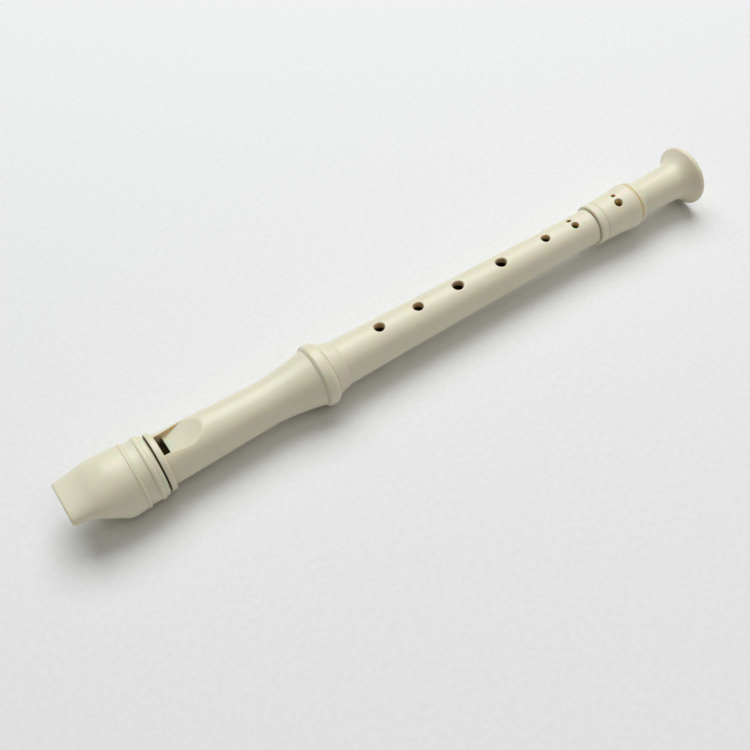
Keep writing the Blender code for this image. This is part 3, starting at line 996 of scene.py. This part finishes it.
IVORY = (0.78, 0.735, 0.55)
PALE_IVORY = (0.79, 0.745, 0.57)
DEEP_IVORY = (0.74, 0.685, 0.50)
DUST = (0.55, 0.47, 0.34)
# Painted shade: a soft darkening laid where the surface is partly closed in
SOFT_PAINTED_SHADE = (0.63, 0.58, 0.42)
# Painted glow: the amber of light passing through the plastic, laid on hole walls and in grooves
PAINTED_AMBER_GLOW = (0.98, 0.80, 0.40)
# Painted shade: deepening to near black inside the bore and deep in the holes
DEEP_PAINTED_SHADE = (0.82, 0.48, 0.17)
DARKEST_PAINTED_SHADE = (0.012, 0.007, 0.004)
# Painted shade for the open seam beside the collar
SEAM_PAINTED_SHADE = (0.22, 0.12, 0.04)
RUBBER = (0.29, 0.22, 0.16)
RUBBER_BLOOM = (0.40, 0.32, 0.24)
CLOTH = (0.82, 0.81, 0.795)
CLOTH_LIGHT = (0.86, 0.85, 0.835)

# Painted shade and painted glow laid into the ivory where it is less open: (reach, where it
# starts, where it is full, share, colour). The long reach goes across the bore, and the short one
# finds grooves and hole walls.
LONG_REACH = 0.022
SHORT_REACH = 0.005
PAINTED_SHADES = [
    (LONG_REACH, 0.94, 0.62, 0.75, SOFT_PAINTED_SHADE),
    (SHORT_REACH, 0.62, 0.46, 1.0, PAINTED_AMBER_GLOW),
    (LONG_REACH, 0.26, 0.12, 1.0, DEEP_PAINTED_SHADE),
    (LONG_REACH, 0.165, 0.09, 1.0, DARKEST_PAINTED_SHADE),
]
SEAM_STATION = 0.0401
SEAM_RADII = (0.0138, 0.0122)
SEAM_HALF_WIDTHS = (0.0010, 0.0009)
BEAK_WEAR = 0.016
MOULD_SEAM_HALF_WIDTHS = (0.00006, 0.00014)


def seam_shade_share(nodes, seam_x):
    """Share of the dark painted shade laid deep in the open seam beside the collar."""
    along, across, height = nodes.place_parts()
    drop = nodes.math("SUBTRACT", height, AXIS_Z)
    squares = nodes.math("ADD", nodes.math("MULTIPLY", across, across),
                         nodes.math("MULTIPLY", drop, drop))
    deep = nodes.remap(nodes.math("SQRT", squares), *SEAM_RADII, 0.0, 1.0)
    off = nodes.math("ABSOLUTE", nodes.math("SUBTRACT", along, seam_x))
    return nodes.math("MULTIPLY", deep, nodes.remap(off, *SEAM_HALF_WIDTHS, 0.0, 1.0))


def ivory(name, shift, gloss, wear_x=None, seam_x=None):
    """Moulded plastic: faint flow marks, fine scuffs along the tube and two mould seams.

    It is rubbed dull at wear_x, where lips touch it, and has painted shade in the open seam at
    seam_x.
    Painted shade darkens it, and a painted amber glow warms it, where it is less open.
    """
    nodes = Nodes(name)
    flow = nodes.noise(26.0, 4.0, (0.45, 1, 1), shift)
    cloud = nodes.noise(9.0, 2.0, (1, 1, 1), shift)
    speck = nodes.noise(1900.0, 1.0, (1, 1, 1), shift)
    scuffs = nodes.noise(320.0, 3.0, (0.08, 1, 1), shift, 0.65)
    grain = nodes.noise(2600.0, 2.0, (1, 1, 1), shift)

    streaks = nodes.remap(flow, 0.35, 0.68, 0.0, 1.0)
    patches = nodes.remap(cloud, 0.45, 0.72, 0.0, 0.30)
    specks = nodes.remap(speck, 0.70, 0.80, 0.0, 0.12)
    colour = nodes.blend(streaks, rgba(IVORY, 0.975), rgba(PALE_IVORY))
    colour = nodes.blend(patches, colour, rgba(DEEP_IVORY))
    colour = nodes.blend(specks, colour, rgba(DUST))
    # Painted shade, deepening to near black as the surface closes in, and a painted amber glow on
    # hole walls and in grooves
    open_near = {reach: nodes.openness(reach) for reach in (SHORT_REACH, LONG_REACH)}
    for reach, start, full, share, shade in PAINTED_SHADES:
        shaded = nodes.remap(open_near[reach], start, full, 0.0, share)
        colour = nodes.blend(shaded, colour, rgba(shade))
    # Painted shade deep in the open seam beside the collar
    if seam_x is not None:
        colour = nodes.blend(seam_shade_share(nodes, seam_x), colour, rgba(SEAM_PAINTED_SHADE))
    nodes.put(nodes.shader.inputs["Base Color"], colour)

    polish = nodes.remap(flow, 0.3, 0.7, gloss - 0.03, gloss + 0.04)
    rubbed = nodes.remap(scuffs, 0.56, 0.75, 0.0, 0.14)
    roughness = nodes.math("ADD", polish, rubbed)
    if wear_x is not None:
        along = nodes.place_parts()[0]
        worn = nodes.remap(along, wear_x + BEAK_WEAR, wear_x, 0.0, 0.12)
        roughness = nodes.math("ADD", roughness, worn)
    nodes.put(nodes.shader.inputs["Roughness"], roughness)

    height = nodes.place_parts()[2]
    off_seam = nodes.math("ABSOLUTE", nodes.math("SUBTRACT", height, AXIS_Z))
    seam = nodes.remap(off_seam, *MOULD_SEAM_HALF_WIDTHS, 1.0, 0.0)
    relief = nodes.math("MULTIPLY", seam, 0.9)
    relief = nodes.math("ADD", relief, nodes.math("MULTIPLY", scuffs, 0.10))
    relief = nodes.math("ADD", relief, nodes.math("MULTIPLY", grain, 0.10))
    relief = nodes.math("ADD", relief, nodes.math("MULTIPLY", flow, 1.2))
    bump = nodes.add(
        "ShaderNodeBump", {"Height": relief, "Strength": 0.35, "Distance": 0.00004}
    ).outputs[0]
    nodes.put(nodes.shader.inputs["Normal"], bump)

    nodes.shader.inputs["IOR"].default_value = 1.53
    nodes.shader.inputs["Coat Weight"].default_value = 0.50
    nodes.shader.inputs["Coat Roughness"].default_value = 0.55
    nodes.shader.inputs["Subsurface Weight"].default_value = 0.60
    nodes.shader.inputs["Subsurface Radius"].default_value = (1.0, 0.38, 0.13)
    nodes.shader.inputs["Subsurface Scale"].default_value = 0.0030
    return nodes.material


def soft_rubber(name):
    """Matt sealing rubber with a dusty bloom."""
    nodes = Nodes(name)
    patch = nodes.noise(180.0, 4.0)
    grit = nodes.noise(2200.0, 3.0)
    bloom = nodes.remap(patch, 0.35, 0.7, 0.0, 1.0)
    colour = nodes.blend(bloom, rgba(RUBBER), rgba(RUBBER_BLOOM))
    nodes.put(nodes.shader.inputs["Base Color"], colour)
    nodes.put(nodes.shader.inputs["Roughness"], nodes.remap(patch, 0.3, 0.7, 0.58, 0.78))
    bump = nodes.add(
        "ShaderNodeBump", {"Height": grit, "Strength": 0.4, "Distance": 0.00005}
    ).outputs[0]
    nodes.put(nodes.shader.inputs["Normal"], bump)
    return nodes.material


def pale_floor(name):
    """Plain pale cloth with a faint weave."""
    nodes = Nodes(name)
    weave = nodes.noise(420.0, 2.0)
    threads = nodes.remap(weave, 0.3, 0.7, 0.0, 1.0)
    colour = nodes.blend(threads, rgba(CLOTH), rgba(CLOTH_LIGHT))
    nodes.put(nodes.shader.inputs["Base Color"], colour)
    nodes.shader.inputs["Roughness"].default_value = 0.9
    nodes.shader.inputs["Specular IOR Level"].default_value = 0.2
    return nodes.material


# ---------------------------------------------------------------- stage, light and camera


FLOOR_REACH = 3.0
SKY = (0.94, 0.96, 1.0)
SKY_STRENGTH = 0.12


def make_floor():
    """A wide flat cloth under the recorder."""
    reach = FLOOR_REACH
    corners = [(-reach, -reach, 0), (reach, -reach, 0), (reach, reach, 0), (-reach, reach, 0)]
    mesh = bpy.data.meshes.new("floor")
    mesh.from_pydata(corners, [], [(0, 1, 2, 3)])
    mesh.materials.append(pale_floor("floor_cloth"))
    floor = bpy.data.objects.new("floor", mesh)
    bpy.context.scene.collection.objects.link(floor)


def area_light(name, location, size, power, colour):
    """A rectangular light that faces the recorder."""
    light = bpy.data.lights.new(name, "AREA")
    light.shape = "RECTANGLE"
    light.size, light.size_y = size
    light.energy = power
    light.color = colour
    lamp = bpy.data.objects.new(name, light)
    lamp.location = location
    lamp.rotation_euler = (-Vector(location)).to_track_quat("-Z", "Y").to_euler()
    bpy.context.scene.collection.objects.link(lamp)


def make_lights():
    area_light("overhead_light", location=(0.40, 0.85, 1.75), size=(1.9, 1.5), power=40.5,
               colour=(0.94, 0.975, 1.0))
    area_light("front_light", location=(0.45, -0.70, 1.70), size=(1.2, 1.2), power=6.5,
               colour=(1.0, 0.96, 0.90))
    world = bpy.data.worlds.new("studio")
    world.use_nodes = True
    background = world.node_tree.nodes["Background"]
    background.inputs["Color"].default_value = rgba(SKY)
    background.inputs["Strength"].default_value = SKY_STRENGTH
    bpy.context.scene.world = world
    bpy.context.scene.view_settings.view_transform = "Standard"


# The camera looks at a station of the axis from this far away, then slides right and up, rolled
VIEW_AZIMUTH = math.radians(-28)
VIEW_ELEVATION = math.radians(53.2)
VIEW_DISTANCE = 0.482
VIEW_STATION = 0.1412
VIEW_SLIDE = (0.00570, -0.01058)
VIEW_ROLL = math.radians(-6.12)
LENS = 52.8
SENSOR = 36.0


def make_camera():
    """Looks down on the recorder from the beak's side, with the bell farther away."""
    flat = math.cos(VIEW_ELEVATION)
    back = Vector((math.sin(VIEW_AZIMUTH) * flat, -math.cos(VIEW_AZIMUTH) * flat,
                   math.sin(VIEW_ELEVATION)))
    level = Vector((math.cos(VIEW_AZIMUTH), math.sin(VIEW_AZIMUTH), 0.0))
    right = Matrix.Rotation(VIEW_ROLL, 3, back) @ level
    up = back.cross(right)
    target = Vector((TIP_X + VIEW_STATION, 0.0, AXIS_Z))
    place = target + back * VIEW_DISTANCE + right * VIEW_SLIDE[0] + up * VIEW_SLIDE[1]
    data = bpy.data.cameras.new("camera")
    data.lens = LENS
    data.sensor_width = SENSOR
    camera = bpy.data.objects.new("camera", data)
    turn = Matrix((right, up, back)).transposed().to_4x4()
    camera.matrix_world = Matrix.Translation(place) @ turn
    bpy.context.scene.collection.objects.link(camera)
    bpy.context.scene.camera = camera


def attach(piece, node, body):
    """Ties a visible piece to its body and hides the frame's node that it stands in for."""
    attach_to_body(piece, body)
    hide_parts(node)


def main():
    rubber = soft_rubber("seal_rubber")
    attach(make_mouthpiece(ivory("mouthpiece_ivory", (0.3, 0.1, 0.7), 0.42, wear_x=TIP_X)),
           "mouthpiece", "head")
    attach(make_block(ivory("block_ivory", (0.9, 0.5, 0.2), 0.46)),
           "windway_block", "head")
    attach(make_head(ivory("head_ivory", (0, 0, 0), 0.40, seam_x=TIP_X + SEAM_STATION)),
           "head_tube", "head")
    attach(make_middle(ivory("middle_ivory", (0.6, 0.8, 0.1), 0.40)),
           "middle_tube", "middle")
    attach(make_foot(ivory("foot_ivory", (0.2, 0.9, 0.4), 0.40)),
           "foot_joint", "foot")
    attach(make_seal("head_seal", HEAD_SEAL, HEAD_TENON_RADIUS, rubber),
           "head_seal_ring", "head_seal")
    attach(make_seal("foot_seal", FOOT_SEAL, FOOT_TENON_RADIUS, rubber),
           "foot_seal_ring", "foot_seal")
    make_floor()
    make_lights()
    make_camera()


main()
